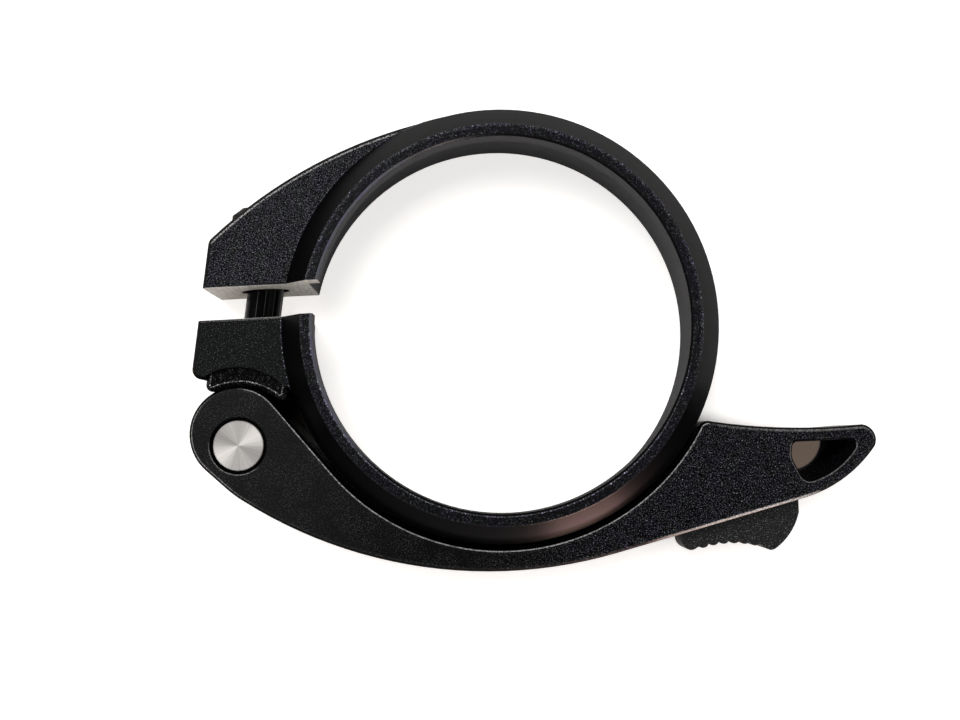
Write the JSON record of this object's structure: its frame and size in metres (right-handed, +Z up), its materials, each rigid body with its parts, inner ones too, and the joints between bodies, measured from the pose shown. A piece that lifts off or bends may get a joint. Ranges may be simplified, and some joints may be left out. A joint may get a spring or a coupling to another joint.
{
  "type": "seatpost clamp",
  "caption": "Split aluminium clamp collar with a stepped lip, ears, cross bolt and a wrap-round cam lever with a spring latch, for holding a bicycle seatpost.",
  "frame": {"origin": "bore axis on the collar's underside, which lies on the table", "axes": "+Z up the bore to the lip, X from the split across the ring to the lever's grip side, Y along the clamp bolt with the lever on the -Y side"},
  "size_m": [0.1104, 0.0748, 0.023],
  "materials": {
    "collar_black": "bead-blasted black anodised, bare on the split faces",
    "lever_black": "bead-blasted black anodised",
    "latch_grey": "fine-grained dark grey",
    "bolt_black": "black oxide",
    "washer_black": "matte acetal",
    "barrel_steel": "turned stainless steel",
    "pin_steel": "ground steel",
    "spring_steel": "spring wire"
  },
  "bodies": {
    "clamp": {"clamp_collar": "collar_black", "clamp_bolt": "bolt_black", "cam_washer": "washer_black", "barrel_nut": "barrel_steel"},
    "lever": {"cam_lever": "lever_black", "latch_pin": "pin_steel", "latch_spring": "spring_steel"},
    "latch": {"safety_latch": "latch_grey"}
  },
  "joints": [
    {"name": "lever_pivot", "type": "hinge", "parent": "clamp", "child": "lever", "pos_m": [-0.0395, -0.024, 0.0095], "axis": [0, 0, 1], "range_deg": [-150, 0]},
    {"name": "latch_pivot", "type": "hinge", "parent": "lever", "child": "latch", "pos_m": [0.042, -0.0185, 0.0095], "axis": [0, 0, 1], "range_deg": [0, 7], "stiffness_Nm_per_rad": 0.08, "springref_deg": -8.59, "deforming": ["latch_spring"]}
  ]
}
